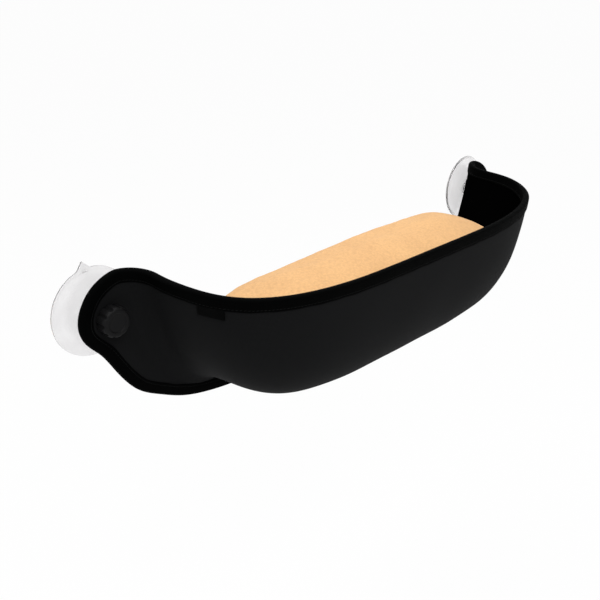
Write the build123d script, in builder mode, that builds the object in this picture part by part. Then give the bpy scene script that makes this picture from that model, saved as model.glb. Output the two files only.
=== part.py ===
from build123d import *
import math
import os

os.makedirs("parts", exist_ok=True)

# All sizes are in millimetres. X runs along the window pane, Y into the pane, Z up.
# The origin is on the pane, midway between the centres of the two suction cups.

# Main sizes
hull_half_length = 280.0
hull_depth = 171.0
sheet_stand_off = 23.0
front_rim_height = 28.0
ear_top_height = 46.0
back_edge_height = -127.0
keel_sag = 1.0
hem_upstand = 21.5
crease_radius = 28.0
hem_radius = 10.0
cup_past_hull = 40.0
ear_past_cup = 28.0

# Sheet layers
core_thickness = 0.8
cover_thickness = 2.0
layer_gap = 0.55
core_margin = 5.0
core_rim_margin = 6.5

# Binding tape
tape_thickness = 1.0
tape_crown = 1.6
tape_round_share = 0.72
tape_width = 11.0
tape_gap = 0.3
tape_joint_gap = 0.3
joint_past_hull = 23.0

# Rounded square forms of the hull
rim_power = 3.9
section_power = 3.1
crease_power = 2.5
corner_power_drop = 0.8
corner_lift = 34.0
keel_end_rise = 8.0
end_taper_share = 0.905
front_taper_share = 0.985
corner_taper_share = 0.18
rim_fall_power = 0.9
end_power = 3.0
corner_power = 4.0
corner_spread_power = 0.75
flare_past_ear = 16.0
crease_foot_inset = 90.0
corner_foot_share = 0.8
ear_fan = 300.0
ear_drop = 60.0
ear_drop_start_share = 0.9
flare_drop = 14.0
edge_spare = 6.0
outline_points = 30

# Cups, studs, knobs and eyelets
cup_diameter = 90.0
cup_lip = 1.3
cup_ring = 4.0
cup_hollow = 3.4
cup_shoulder = 9.5
boss_diameter = 24.0
boss_gap = 0.15
stud_diameter = 8.0
stud_head_diameter = 15.0
stud_head_start = 7.0
stud_head_height = 4.0
stud_past_insert = 3.15
stud_tip = 1.2
eyelet_diameter = 22.0
eyelet_flange = 0.9
eyelet_gap = 0.1
barrel_wall = 1.22
running_gap = 0.08
stack_gap = 0.1
washer_diameter = 25.0
washer_thickness = 1.2
knob_diameter = 30.0
knob_height = 13.0
knob_edge = 1.6
knob_dish_diameter = 19.0
knob_dish = 1.0
insert_wall = 2.42
insert_height = 6.5
flute_count = 10
flute_radius = 2.6
flute_set_share = 1.06
bore_clearance = 0.3
pull_tab_length = 8.5
pull_tab_base = 15.0
pull_tab_tip = 1.6
pull_tab_thickness = 1.8
pull_tab_lift = 0.3
pull_tab_angles = (("left", -1, 98.0), ("right", 1, -62.0))

# Label
label_length = 25.0
label_drop = 9.5
label_thickness = 0.8
label_to_crease = 89.3
label_points = 5

# Cushion
soft_gap = 2.2
cushion_wall = 2.2
fill_gap = 0.8
cushion_back_gap = 10.0
cushion_reach_share = 0.88
sunk_reach_factor = 3.0
crest_below_rim = 23.0
crest_depth = 62.0
crown_fall = 34.0
crown_half_depth = 100.0
end_fall = 48.0
end_fall_inset = 18.0
end_fall_power = 4.0
edge_roll = 12.0
cushion_steps = 20
past_middle_steps = 2
floor_points = 9
back_points = 4
top_points = 7
section_points = 16

# Numbers of points and facets of the curved forms
rim_steps = 25
line_steps = 15
bend_steps = 24
close_steps = bend_steps * bend_steps
facet_length = 60.0
facet_turn = 15.0
nudge_share = 1 / bend_steps

# One overrun serves every cut
overrun = 4.0

# Sizes that follow
sheet_half = core_thickness / 2 + layer_gap + cover_thickness
rim_reach = hull_depth - sheet_stand_off
keel_height = back_edge_height - keel_sag
hem_bend_height = back_edge_height + hem_upstand
cup_spacing = (hull_half_length + cup_past_hull) * 2
ear_reach = cup_spacing / 2 + ear_past_cup
flare_x = ear_reach + flare_past_ear
crease_foot = hull_half_length - crease_foot_inset
tape_joint_x = hull_half_length + joint_past_hull
cushion_back = sheet_stand_off + cushion_back_gap
crest_height = front_rim_height - crest_below_rim
end_fall_half = hull_half_length - end_fall_inset
nudge = overrun * nudge_share


def corner_pair(angle, power):
    """The two shares of a rounded corner whose sides follow the given power."""
    across = math.cos(angle)
    along = math.sin(angle)
    size = (across**power + along**power) ** (1 / power)
    return across / size, along / size


leg_share = crease_radius / rim_reach
leg_angle = math.atan2(leg_share, (1 - leg_share**rim_power) ** (1 / rim_power))
leg_x = hull_half_length * corner_pair(leg_angle, rim_power)[0]
fold_x = leg_x + crease_radius


def evenly_spaced(points, steps):
    """Points at even distances along a line of points."""
    run = [0.0]
    for near, far in zip(points, points[1:]):
        run.append(run[-1] + (far - near).length)
    spaced = []
    spot = 1
    for step in range(steps + 1):
        wanted = run[-1] * step / steps
        while spot < len(points) - 1 and run[spot] < wanted:
            spot += 1
        part = (wanted - run[spot - 1]) / (run[spot] - run[spot - 1])
        spaced.append(points[spot - 1] + (points[spot] - points[spot - 1]) * part)
    return spaced


def spread(points, steps):
    """Points along a line of close points, nearer together where the line turns."""
    run = [0.0]
    heading = points[1] - points[0]
    for near, far in zip(points, points[1:]):
        step = far - near
        run.append(run[-1] + step.length / facet_length + heading.get_angle(step) / facet_turn)
        heading = step
    chosen = []
    spot = 1
    for step in range(steps + 1):
        wanted = run[-1] * step / steps
        while spot < len(points) - 1 and run[spot] < wanted:
            spot += 1
        part = (wanted - run[spot - 1]) / (run[spot] - run[spot - 1])
        chosen.append(points[spot - 1] + (points[spot] - points[spot - 1]) * part)
    return chosen


def half_rim():
    """Close points along half of the rim in plan, from the middle of the front to the crease."""
    spots = []
    for step in range(close_steps + 1):
        angle = math.pi / 2 + (leg_angle - math.pi / 2) * step / close_steps
        across, along = corner_pair(angle, rim_power)
        spots.append(Vector(hull_half_length * across, rim_reach * along))
    for step in range(1, bend_steps + 1):
        turn = math.pi / 2 * step / bend_steps
        spots.append(Vector(leg_x + crease_radius * (1 - math.cos(turn)), crease_radius * (1 - math.sin(turn))))
    return spots


rim_spots = half_rim()
fold_run = sum((far - near).length for near, far in zip(rim_spots, rim_spots[1:]))
even_spots = evenly_spaced(rim_spots, close_steps)

# Stations along the rim, nearer together where the rim turns
rim_runs = []
for spot in spread([*rim_spots, Vector(flare_x, 0)], rim_steps):
    close = min(range(len(even_spots)), key=lambda place: (even_spots[place] - spot).length)
    past = max(0.0, spot.X - fold_x)
    rim_runs.append(fold_run * close / (len(even_spots) - 1) + past)


def station(run):
    """Place along the pane, depth and share of the way to the crease, at a run along the rim."""
    if run >= fold_run:
        return fold_x + run - fold_run, 0.0, run / fold_run
    place = run / fold_run * (len(even_spots) - 1)
    near = int(place)
    spot = even_spots[near] + (even_spots[near + 1] - even_spots[near]) * (place - near)
    return spot.X, spot.Y, run / fold_run


def rim_point(x, depth):
    """Point of the rim in the middle of the sheet."""
    fall = (depth / rim_reach) ** rim_fall_power
    return Vector(x, -sheet_stand_off - depth, ear_top_height - (ear_top_height - front_rim_height) * fall)


def corner_nearness(x, depth):
    """Share of the depth, share of the way out to the crease, and nearness to the hull's rounded corner."""
    bulge = depth / rim_reach
    inward = min(1.0, x / fold_x)
    return bulge, inward, inward**corner_power * (4 * bulge * (1 - bulge)) ** corner_spread_power


def keel_point(x, depth):
    """Corner that a line of the sheet rounds between the wall and the floor."""
    bulge, inward, corner = corner_nearness(x, depth)
    outward = max(0.0, (x - fold_x) / (flare_x - fold_x))
    taper = end_taper_share + (1 - end_taper_share) * outward
    rise = keel_end_rise * inward**end_power * (1 - bulge) + corner_lift * corner
    back = depth * (front_taper_share - corner_taper_share * corner)
    return Vector(x * taper, -sheet_stand_off - back, keel_height + rise - flare_drop / 2 * outward)


def hem_point(way):
    """Corner that a line of the sheet rounds between the floor and the hem at the pane."""
    outward = max(0.0, way - 1)
    drop = ear_drop * max(0.0, way - ear_drop_start_share)
    return Vector(crease_foot * way + ear_fan * outward, -sheet_stand_off, hem_bend_height - drop)


def close_line(run, margin=0.0):
    """Close points of one line of the sheet, from the rim down the wall and along the floor to the back edge."""
    x, depth, way = station(run)
    bulge, inward, corner = corner_nearness(x, depth)
    power = section_power + (crease_power - section_power) * inward**end_power * (1 - bulge)
    power = power - corner_power_drop * corner
    rim = rim_point(x, depth)
    keel = keel_point(x, depth)
    hem = hem_point(way)
    last = math.acos(hem_radius / (keel - hem).length)
    points = []
    for step in range(close_steps + 1):
        across, along = corner_pair(last * step / close_steps, power)
        points.append(rim + hem - keel + (keel - hem) * across + (keel - rim) * along)
    points = [rim + (keel - rim).normalized() * margin] + [
        point for point in points if (point - rim).length > margin + nudge
    ]
    start = points[-1]
    end = hem - Vector(0, 0, hem_radius)
    for step in range(1, bend_steps + 1):
        part = step / bend_steps
        points.append(start * (1 - part) ** 2 + hem * (2 * part * (1 - part)) + end * part**2)
    points.append(Vector(end.X, end.Y, back_edge_height - edge_spare))
    return points


def sheet_line(run, margin=0.0):
    """A few points of one line of the sheet, nearer together at its bends."""
    return spread(close_line(run, margin), line_steps)


def both_halves(lines):
    """Lines of one half joined to their mirror image, which comes first."""
    mirrored = [[Vector(-point.X, point.Y, point.Z) for point in line] for line in reversed(lines[1:])]
    return mirrored + lines


def outward_normals(lines):
    """Normals of the sheet at its points, away from the lying space."""
    normals = []
    for row, line in enumerate(lines):
        before = lines[max(0, row - 1)]
        after = lines[min(len(lines) - 1, row + 1)]
        normals.append([
            (after[spot] - before[spot]).cross(line[min(len(line) - 1, spot + 1)] - line[max(0, spot - 1)])
            .normalized() * -1 for spot in range(len(line))
        ])
    return normals


def shifted(lines, distance, normals=None):
    """Lines of the sheet moved along its normals."""
    normals = normals or outward_normals(lines)
    return [
        [point + normal * distance for point, normal in zip(line, aside)]
        for line, aside in zip(lines, normals)
    ]


def even_shares(count):
    """Even shares from nought to one."""
    return [step / (count - 1) for step in range(count)]


def layer(low, high, margin=0.0):
    """One layer of the sheet between two distances from its middle, as a ruled loft through thin strips."""
    half = [sheet_line(run, margin) for run in rim_runs]
    lines = both_halves(half)
    normals = outward_normals(lines)
    strips = []
    for under, over in zip(shifted(lines, low, normals), shifted(lines, high, normals)):
        strips.append(Wire.make_polygon([*under, *reversed(over)]))
    return Solid.make_loft(strips, ruled=True)


def rim_frame(run, side=1):
    """Rim point, direction down the wall and outward normal at a run along the rim."""
    x, depth, way = station(run)
    rim = rim_point(x, depth)
    down = (keel_point(x, depth) - rim).normalized()
    near, far = station(max(0.0, run - nudge)), station(run + nudge)
    along = rim_point(far[0], far[1]) - rim_point(near[0], near[1])
    out = down.cross(along).normalized()
    if side < 0:
        rim, down, out = [Vector(-part.X, part.Y, part.Z) for part in (rim, down, out)]
    return rim, down, out


def band_loft(runs, profile):
    """Loft through copies of a closed profile, given as distances out and down, placed along the rim."""
    sections = []
    for run in runs:
        rim, down, out = rim_frame(abs(run), -1 if run < 0 else 1)
        place = [[rim + out * across + down * below for across, below in piece] for piece in profile]
        sections.append(Wire([Edge.make_line(*piece) for piece in place]))
    return Solid.make_loft(sections, ruled=True)


def keep(builder, name):
    """Labels a finished piece and writes its file."""
    builder.part.label = name
    export_step(builder.part, f"parts/{name}.step")


# Size of the tangents at the ends of a smooth curve, as a factor
tangent_factor = 1.0

# Outline of the sheet at the pane: one ear as points in shares of its reach and of the back edge's height
ear_shares = (
    (0.914, -0.330), (0.954, -0.250), (0.986, -0.130), (1.0, 0.030), (0.986, 0.142), (0.948, 0.260),
    (0.908, 0.420), (0.866, 0.590), (0.831, 0.690), (0.768, 0.793), (0.690, 0.892), (0.593, 0.960), (0.5, 0.992),
)
outline_head = ear_top_height + crease_radius
joint = tape_joint_x + tape_joint_gap
hem_end = crease_foot * corner_foot_share
with BuildLine():
    ear_edge = Spline(
        (joint, ear_top_height),
        *[(ear_reach * across, back_edge_height * below) for across, below in ear_shares],
        (hem_end, back_edge_height),
        tangents=[(1, 0), (-1, 0)],
        tangent_scalars=[tangent_factor, tangent_factor],
    )


def outline(grown):
    """The sheet's outline at the pane, moved outwards by a distance or inwards by a negative one."""
    rounded = []
    for share in even_shares(outline_points):
        along = ear_edge.tangent_at(share)
        rounded.append(ear_edge.position_at(share) + Vector(-along.Y, along.X) * grown)
    with BuildSketch(Plane.XZ) as made:
        with BuildLine():
            Polyline(
                (-joint, rounded[0].Y), (-joint, outline_head), (joint, outline_head), (joint, rounded[0].Y)
            )
            half = Polyline(*rounded)
            mirror(half, Plane.YZ)
            Line((hem_end, rounded[-1].Y), (-hem_end, rounded[-1].Y))
        make_face()
    return made.sketch.moved(Location((0, -sheet_stand_off, 0)))


sheet_outline = outline(0)

# Holes for the eyelets through the ears
barrel_diameter = stud_diameter + (running_gap + barrel_wall) * 2
with BuildPart() as ear_holes:
    with BuildSketch(Plane.XZ):
        with GridLocations(cup_spacing, 0, 2, 1):
            Circle(barrel_diameter / 2 + stack_gap)
    extrude(amount=sheet_stand_off * 2)

# Outer cover, the layer that is seen on the outside of the hull and on the room side of the ears
with BuildPart() as outer_cover:
    add(layer(core_thickness / 2 + layer_gap, sheet_half))
    extrude(sheet_outline, amount=hull_depth * 2, both=True, mode=Mode.INTERSECT)
    add(ear_holes.part, mode=Mode.SUBTRACT)
keep(outer_cover, "outer_cover")

# Lining, the layer that is seen inside the hull
with BuildPart() as lining:
    add(layer(-sheet_half, -core_thickness / 2 - layer_gap))
    extrude(sheet_outline, amount=hull_depth * 2, both=True, mode=Mode.INTERSECT)
    add(ear_holes.part, mode=Mode.SUBTRACT)
keep(lining, "lining")

# Stiff core sheet between the two fabrics, which stops short of the stitched edges
with BuildPart() as core_sheet:
    add(layer(-core_thickness / 2, core_thickness / 2, core_rim_margin))
    extrude(outline(-core_margin), amount=hull_depth * 2, both=True, mode=Mode.INTERSECT)
    add(ear_holes.part, mode=Mode.SUBTRACT)
keep(core_sheet, "core_sheet")

# Binding tape along the rim, a folded band that grips the edge of the sheet
tape_far = sheet_half + tape_gap + tape_thickness
tape_near = sheet_half + tape_gap
tape_turn = (
    (tape_far, tape_gap), (tape_far * tape_round_share, -tape_thickness * tape_round_share), (0, -tape_crown),
    (-tape_far * tape_round_share, -tape_thickness * tape_round_share), (-tape_far, tape_gap),
)
tape_ring = (
    *tape_turn, (-tape_far, tape_width), (-tape_near, tape_width), (-tape_near, -tape_gap),
    (tape_near, -tape_gap), (tape_near, tape_width), (tape_far, tape_width),
)
tape_profile = tuple(zip(tape_ring, tape_ring[1:] + tape_ring[:1]))
joint_run = fold_run + tape_joint_x - fold_x
half_runs = [run for run in rim_runs if run < joint_run - tape_width] + [joint_run]
tape_runs = [-run for run in reversed(half_runs[1:])] + half_runs
with BuildPart() as rim_binding:
    add(band_loft(tape_runs, tape_profile))
keep(rim_binding, "rim_binding")

# Binding tape round the ears and along the back edge, all in one plane
with BuildPart() as back_binding:
    extrude(outline(tape_gap + tape_thickness), amount=tape_far, both=True)
    extrude(outline(-tape_width), amount=tape_far + overrun, both=True, mode=Mode.SUBTRACT)
    extrude(outline(tape_gap), amount=tape_near, both=True, mode=Mode.SUBTRACT)
    with Locations((0, -sheet_stand_off, outline_head / 2)):
        Box(joint * 2, tape_far * 2 + overrun, outline_head + overrun, mode=Mode.SUBTRACT)
keep(back_binding, "back_binding")

# Bare label tucked under the rim tape at the left front corner
label_run = fold_run - label_to_crease
label_near = tape_near
label_top = tape_width + tape_gap
label_profile = (
    ((label_near, label_top), (label_near, label_top + label_drop)),
    ((label_near, label_top + label_drop), (label_near + label_thickness, label_top + label_drop)),
    ((label_near + label_thickness, label_top + label_drop), (label_near + label_thickness, label_top)),
    ((label_near + label_thickness, label_top), (label_near, label_top)),
)
with BuildPart() as rim_label:
    add(band_loft([-label_run + label_length * (part - 1 / 2) for part in even_shares(label_points)], label_profile))
keep(rim_label, "rim_label")


def place(side_sign):
    """Place of a cup's axis."""
    return Location((side_sign * cup_spacing / 2, 0, 0))


def turned(points, rounded=()):
    """Solid turned about the Y axis from an outline of radii and distances from the pane, closed by rounded."""
    with BuildPart() as made:
        with BuildSketch(Plane.XY):
            with BuildLine():
                Polyline(*[(radius, -away) for radius, away in points], close=not rounded)
                for curve in rounded:
                    Polyline(*[(radius, -away) for radius, away in curve])
            make_face()
        revolve(axis=Axis.Y)
    return made.part


washer_bore = stud_diameter + bore_clearance * 2
insert_flats = stud_diameter + (running_gap + insert_wall) * 2
cup_radius = cup_diameter / 2
boss_radius = boss_diameter / 2
stud_radius = stud_diameter / 2
barrel_radius = barrel_diameter / 2
eyelet_radius = eyelet_diameter / 2
bore_radius = stud_radius + running_gap
ear_back = sheet_stand_off - sheet_half - eyelet_gap
ear_front = sheet_stand_off + sheet_half + eyelet_gap
washer_start = ear_front + eyelet_flange + stack_gap
knob_start = washer_start + washer_thickness + stack_gap
insert_end = knob_start + insert_height
knob_end = knob_start + knob_height
stud_end = insert_end + stud_past_insert
boss_end = ear_back - eyelet_flange - boss_gap
stud_head_end = stud_head_start + stud_head_height

# Outer skin of the cup's dish as shares of its radius and of its shoulder height, from lip to boss
dish_shares = ((0.91, 0.30), (0.76, 0.52), (0.58, 0.70), (0.40, 0.84))
# Hollow under the cup in the same way, from the ring on the pane to the middle
hollow_shares = ((0.80, 0.50), (0.55, 0.84), (0.28, 0.97))

stud_shape = turned((
    (0, stud_head_start), (stud_head_diameter / 2, stud_head_start), (stud_head_diameter / 2, stud_head_end),
    (stud_radius, stud_head_end), (stud_radius, stud_end - stud_tip), (stud_radius - stud_tip, stud_end), (0, stud_end),
))
cup_shape = turned(
    (
        (boss_radius, cup_shoulder), (boss_radius, boss_end), (0, boss_end), (0, cup_hollow),
    ),
    (
        ((0, cup_hollow), *[(cup_radius * r, cup_hollow * h) for r, h in reversed(hollow_shares)],
         (cup_radius - cup_ring, 0)),
        ((cup_radius - cup_ring, 0), (cup_radius, 0)),
        ((cup_radius, 0), (cup_radius, cup_lip)),
        ((cup_radius, cup_lip), *[(cup_radius * r, cup_shoulder * h) for r, h in dish_shares],
         (boss_radius, cup_shoulder)),
    ),
)

for side, sign, tab_angle in pull_tab_angles:
    # Stud, with the head that is moulded into the cup
    with BuildPart() as stud:
        add(stud_shape.moved(place(sign)))
    keep(stud, f"stud_{side}")

    # Suction cup with its pull tab
    with BuildPart() as cup:
        add(cup_shape.moved(place(sign)))
        with BuildSketch(Plane.XZ.offset(pull_tab_lift)):
            with BuildLine():
                root = cup_radius - cup_ring
                tip = cup_radius + pull_tab_length
                edge = Spline(
                    (root, pull_tab_base / 2), (cup_radius + pull_tab_tip, pull_tab_base / 4),
                    (tip - pull_tab_tip / 2, pull_tab_tip / 2), (tip, 0),
                )
                mirror(edge, Plane.XZ)
                Line((root, -pull_tab_base / 2), (root, pull_tab_base / 2))
            make_face()
        tab = extrude(amount=pull_tab_thickness, mode=Mode.PRIVATE)
        add(tab.rotate(Axis.Y, -tab_angle).moved(place(sign)))
        add(stud_shape.moved(place(sign)), mode=Mode.SUBTRACT)
    keep(cup, f"suction_cup_{side}")

    # Front half of the eyelet, whose barrel goes through the ear
    with BuildPart() as eyelet_front:
        add(turned((
            (bore_radius, ear_front + eyelet_flange), (eyelet_radius, ear_front + eyelet_flange),
            (eyelet_radius, ear_front), (barrel_radius, ear_front), (barrel_radius, ear_back - eyelet_flange),
            (bore_radius, ear_back - eyelet_flange),
        )).moved(place(sign)))
    keep(eyelet_front, f"eyelet_front_{side}")

    # Back half of the eyelet, a ring pressed onto the barrel
    with BuildPart() as eyelet_back:
        add(turned((
            (barrel_radius + stack_gap / 2, ear_back), (eyelet_radius, ear_back),
            (eyelet_radius, ear_back - eyelet_flange), (barrel_radius + stack_gap / 2, ear_back - eyelet_flange),
        )).moved(place(sign)))
    keep(eyelet_back, f"eyelet_back_{side}")

    # Washer under the knob
    with BuildPart() as washer:
        with BuildSketch(Plane.XZ.offset(washer_start)):
            with Locations((sign * cup_spacing / 2, 0)):
                Circle(washer_diameter / 2)
                Circle(washer_bore / 2, mode=Mode.SUBTRACT)
        extrude(amount=washer_thickness)
        chamfer(washer.faces().sort_by(Axis.Y)[0].outer_wire().edges(), washer_thickness / 4)
    keep(washer, f"washer_{side}")

    # Threaded insert moulded into the knob
    with BuildPart() as insert:
        with BuildSketch(Plane.XZ.offset(knob_start)):
            with Locations((sign * cup_spacing / 2, 0)):
                RegularPolygon(insert_flats / 2, 6, major_radius=False)
                Circle(bore_radius, mode=Mode.SUBTRACT)
        extrude(amount=insert_height)
    keep(insert, f"knob_insert_{side}")

    # Round knob with flutes for the fingers and a shallow dish in its end
    with BuildPart() as knob:
        with BuildSketch(Plane.XZ.offset(knob_start)):
            with Locations((sign * cup_spacing / 2, 0)):
                Circle(knob_diameter / 2)
        extrude(amount=knob_height)
        chamfer(knob.faces().sort_by(Axis.Y)[0].edges(), knob_edge)
        chamfer(knob.faces().sort_by(Axis.Y)[-1].edges(), knob_edge / 4)
        with BuildSketch(Plane.XZ.offset(knob_start - overrun)):
            with Locations((sign * cup_spacing / 2, 0)):
                with PolarLocations(knob_diameter / 2 * flute_set_share, flute_count):
                    Circle(flute_radius)
        extrude(amount=knob_height + overrun * 2, mode=Mode.SUBTRACT)
        with BuildSketch(Plane.XZ.offset(knob_end - knob_dish)):
            with Locations((sign * cup_spacing / 2, 0)):
                Circle(knob_dish_diameter / 2)
        extrude(amount=overrun, mode=Mode.SUBTRACT)
        with BuildSketch(Plane.XZ.offset(knob_start)):
            with Locations((sign * cup_spacing / 2, 0)):
                RegularPolygon(insert_flats / 2, 6, major_radius=False)
        extrude(amount=insert_height, mode=Mode.SUBTRACT)
        with BuildSketch(Plane.XZ.offset(knob_start)):
            with Locations((sign * cup_spacing / 2, 0)):
                Circle(stud_radius + bore_clearance)
        extrude(amount=stud_end - knob_start + bore_clearance, mode=Mode.SUBTRACT)
    keep(knob, f"knob_{side}")


def crown(x, y, sunk):
    """Height of the cushion's top."""
    across = (-y - crest_depth) / crown_half_depth
    return crest_height - crown_fall * across**2 - end_fall * (abs(x) / end_fall_half) ** end_fall_power - sunk


def cushion_section(run, sunk, share):
    """Closed section of the cushion at a run along the rim, sunk inwards and drawn to a share of its size."""
    spot = max(abs(run), nudge)
    lines = [evenly_spaced(close_line(spot + shift), bend_steps) for shift in (-nudge, 0, nudge)]
    inner = shifted(lines, -sheet_half - soft_gap - sunk, outward_normals(lines))[1]
    inner = evenly_spaced(inner, close_steps)
    wall = [point for point in inner if point.Y < -cushion_back - sunk]
    last = wall[-1]
    back = Vector(last.X, min(last.Y, -cushion_back - sunk), 0)
    side = [point for point in wall if point.Z < crown(point.X, point.Y, sunk) - edge_roll]
    points = evenly_spaced(side, floor_points)
    top = crown(back.X, back.Y, sunk) - edge_roll
    foot = points[-1].Z + edge_roll
    for part in even_shares(back_points):
        points.append(Vector(back.X, back.Y, foot + (top - foot) * part))
    front = points[0]
    for part in even_shares(top_points)[1:-1]:
        spot = back + (front - back) * part
        points.append(Vector(spot.X, spot.Y, crown(spot.X, spot.Y, sunk)))
    flat = (points[floor_points // 2] - front).cross(points[floor_points] - front).normalized()
    points = [point - flat * (point - front).dot(flat) for point in points]
    rounded = Edge.make_spline(points, periodic=True)
    points = [rounded.position_at(part) for part in even_shares(section_points + 1)[:-1]]
    centre = sum(points, Vector(0, 0, 0)) / len(points)
    points = [centre + (point - centre) * share for point in points]
    if run < 0:
        points = [Vector(-point.X, point.Y, point.Z) for point in points]
    return Wire.make_polygon(points)


# Shares by which the last sections at each end of the cushion are drawn in, from the very end inwards
draw_shares = (0.52, 0.78, 0.91, 0.975)


def cushion_body(sunk):
    """Loft through the cushion's sections from a little past its middle to one end, then mirrored."""
    middle = cushion_steps // 2
    sections = []
    for step in range(middle - past_middle_steps, cushion_steps + 1):
        run = (fold_run * cushion_reach_share - sunk * sunk_reach_factor) * (step / middle - 1)
        from_end = cushion_steps - step
        share = draw_shares[from_end] if from_end < len(draw_shares) else 1.0
        sections.append(cushion_section(run, sunk, share))
    with BuildPart() as body:
        add(Solid.make_loft(sections, ruled=True))
        split(bisect_by=Plane.YZ, keep=Keep.TOP)
        mirror(about=Plane.YZ)
    return body.part


# Fleece cover of the cushion, a closed skin over the filling
with BuildPart() as cushion_cover:
    add(cushion_body(0))
    add(cushion_body(cushion_wall), mode=Mode.SUBTRACT)
keep(cushion_cover, "cushion_cover")

# Filling of the cushion
with BuildPart() as cushion_filling:
    add(cushion_body(cushion_wall + fill_gap))
keep(cushion_filling, "cushion_filling")
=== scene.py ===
import math

import bmesh
import bpy
import numpy as np
from bpy.props import FloatProperty, FloatVectorProperty, IntProperty, PointerProperty
from bpy.types import Operator, Panel, PropertyGroup
from mathutils import Matrix, Vector
from mathutils.bvhtree import BVHTree


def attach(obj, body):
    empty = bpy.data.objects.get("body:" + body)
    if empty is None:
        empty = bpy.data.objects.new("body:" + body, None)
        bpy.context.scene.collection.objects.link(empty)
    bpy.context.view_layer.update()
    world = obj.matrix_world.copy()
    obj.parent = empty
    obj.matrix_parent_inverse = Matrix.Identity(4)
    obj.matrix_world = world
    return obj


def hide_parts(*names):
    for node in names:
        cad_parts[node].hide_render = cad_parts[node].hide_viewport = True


bl_info = {
    "name": "Window Cat Perch",
    "version": (1, 0, 0),
    "blender": (4, 5, 0),
    "location": "3D View > Sidebar > Perch",
    "description": "Makes the fabric hull, tape, label, cushion, cups and knobs of a cat perch for a window",
    "category": "Object",
}

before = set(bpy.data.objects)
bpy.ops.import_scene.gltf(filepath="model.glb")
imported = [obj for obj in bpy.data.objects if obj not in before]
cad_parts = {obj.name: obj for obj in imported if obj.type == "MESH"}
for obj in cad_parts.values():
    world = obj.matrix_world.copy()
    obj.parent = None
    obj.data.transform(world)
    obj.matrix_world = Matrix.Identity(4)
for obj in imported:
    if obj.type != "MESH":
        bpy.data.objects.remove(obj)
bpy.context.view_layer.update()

MILLIMETRE = 0.001

# Sheet of the hull, the same sizes as the solids have, in millimetres
STAND_OFF = 23.0
HALF_LENGTH = 280.0
REACH = 148.0
FRONT_RIM = 28.0
EAR_TOP = 46.0
KEEL = -128.0
HEM_BEND = -105.5
BACK_EDGE = -127.0
EAR_REACH = 348.0
CREASE_RADIUS = 28.0
HEM_RADIUS = 10.0
RIM_POWER = 3.9
SECTION_POWER = 3.1
CREASE_POWER = 2.5
FLARE_X = 364.0
CREASE_FOOT = 190.0
JOINT_X = 303.3
HEM_END = 152.0
SHEET_HALF = 2.95
CORE_HALF = 0.4
CORE_MARGIN = 6
FACE_INSIDE = 0.95
KEEL_WIDTH, KEEL_REACH, KEEL_TUCK, CREASE_RISE = 0.905, 0.985, 0.18, 8.0
HOLE_X = 320.0
EAR_SHARES = (
    (0.914, -0.308), (0.953, -0.244), (0.986, -0.130), (1.0, 0.030), (0.986, 0.142),
    (0.948, 0.260), (0.908, 0.420), (0.866, 0.590), (0.831, 0.690), (0.768, 0.793),
    (0.690, 0.892), (0.593, 0.960), (0.5, 0.992),
)

# Where the loaded sheet hangs lower and wider than the solids: drops of the rim at runs along it, drop of
# the keel, and rise and swell of the lower corners, in millimetres
SETTLE_RUNS = (0, 120, 165, 200, 235, 265, 290, 310, 330, 350, 368, 390, 440)
SETTLE_DROPS = (5.2, 5.4, 4.6, 3.7, 2.4, 1.3, 0.4, 0.4, 1.9, 3.5, 3.4, 3.6, 3.6)
KEEL_DROP, CORNER_RISE, CORNER_SWELL = 6.2, 28.0, 4.0

# Holes that are cut for the eyelets, and the grid of points over half the sheet
HOLE_RADIUS, PUNCH_START, PUNCH_END = 5.6, 10.0, 40.0
GRID_COLUMNS, GRID_ROWS, EAR_TIP = 96, 76, 345.0
MIRROR = np.array([-1, 1, 1])

# Label's middle along the rim, its length, its top under the rim, its drop and its thickness, in millimetres
LABEL_RUN, LABEL_LENGTH, LABEL_TOP, LABEL_DROP, LABEL_THICKNESS = 285.0, 25.0, 9.2, 11.4, 0.75

# Cushion's back wall, depth of its edge under the crown, its clearance from the sheet, where along the pane
# the extra smoothing of its ends begins and how far on it is full, and the rounding of its ends
CUSHION_BACK, EDGE_DROP, CUSHION_GAP = 33.0, 15.0, 4.5
SOFT_START, SOFT_LENGTH = 175.0, 45.0
REACH_SHARE, END_TAPER, END_POWER = 0.898, 58.0, 2.6
CLOTH_FRAMES = 20

# Camera at the photograph's viewing angle: yaw, pitch and roll in degrees, place in metres
CAMERA_SENSOR, CAMERA_LENS = 36.0, 48.416
CAMERA_TURNS = (46.665, -22.930, 0.258)
CAMERA_PLACE = (-0.6971, -0.6277, 0.3105)

# Soft lights: place and size in metres, and share of the key light's power
LIGHTS = (
    ("key_light", (-0.9, -1.7, 1.9), 1.3, 1.0),
    ("fill_light", (1.7, -1.5, 0.9), 1.6, 0.04),
    ("top_light", (0.1, 0.4, 1.9), 1.4, 0.55),
)
LIGHT_AIM = (0, -0.1, -0.05)
FLOOR_RADIUS, FLOOR_GLOW, WORLD_LIGHT = 30.0, 0.96, 0.42


# Sizes and colours that a user may change


def colour_setting(name, description, default):
    """Colour property."""
    return FloatVectorProperty(
        name=name, description=description, subtype="COLOR", size=3, min=0, max=1, default=default)


def length_setting(name, description, default, low, high):
    """Length property in metres."""
    return FloatProperty(
        name=name, description=description, unit="LENGTH", min=low, max=high, default=default)


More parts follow.
